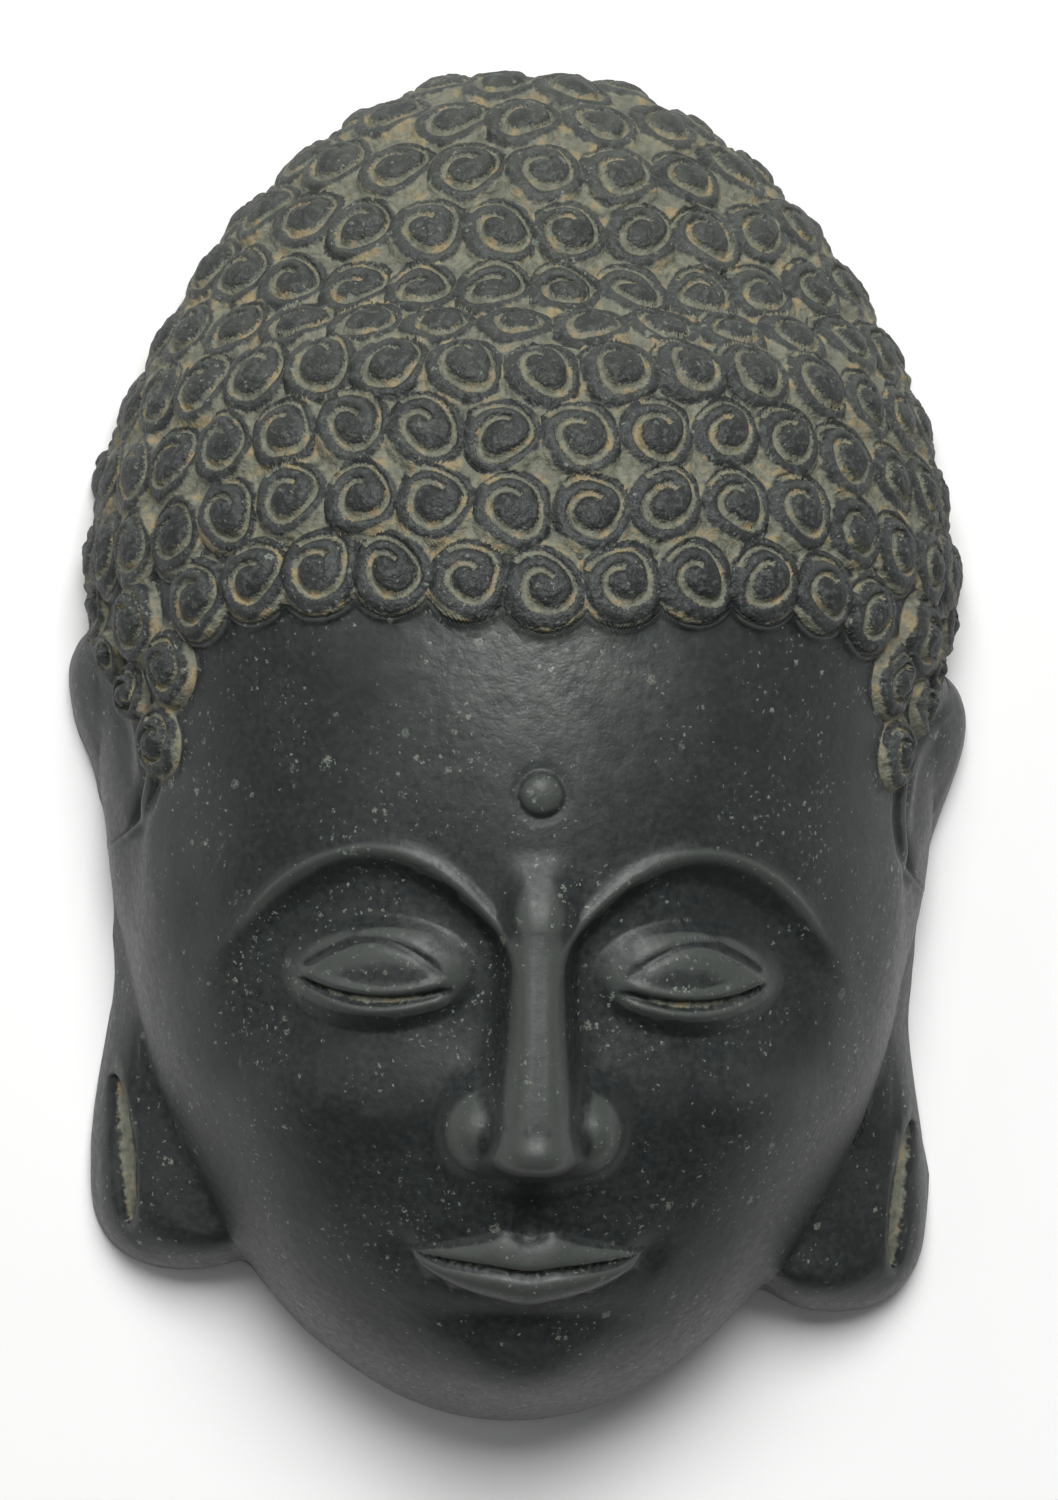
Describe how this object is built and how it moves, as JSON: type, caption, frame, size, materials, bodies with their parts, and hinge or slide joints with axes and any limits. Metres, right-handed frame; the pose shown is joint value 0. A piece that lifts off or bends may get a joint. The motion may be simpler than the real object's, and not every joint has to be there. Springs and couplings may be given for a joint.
{
  "type": "buddha mask",
  "caption": "Hollow cast-stone buddha mask with a calm face, lowered eyelids, long pierced ears and rows of snail-shell curls, lying face up on its flat back rim.",
  "frame": {"origin": "centre of the casting's bounding box, on the plane of its flat back rim", "axes": "+X to the right of a viewer facing the mask, +Y from the chin to the crown, +Z from the back plane out of the face"},
  "size_m": [0.2411, 0.36, 0.1291],
  "materials": {
    "cast_stone": "satin"
  },
  "bodies": {
    "root": {"mask": "cast_stone"}
  },
  "joints": []
}
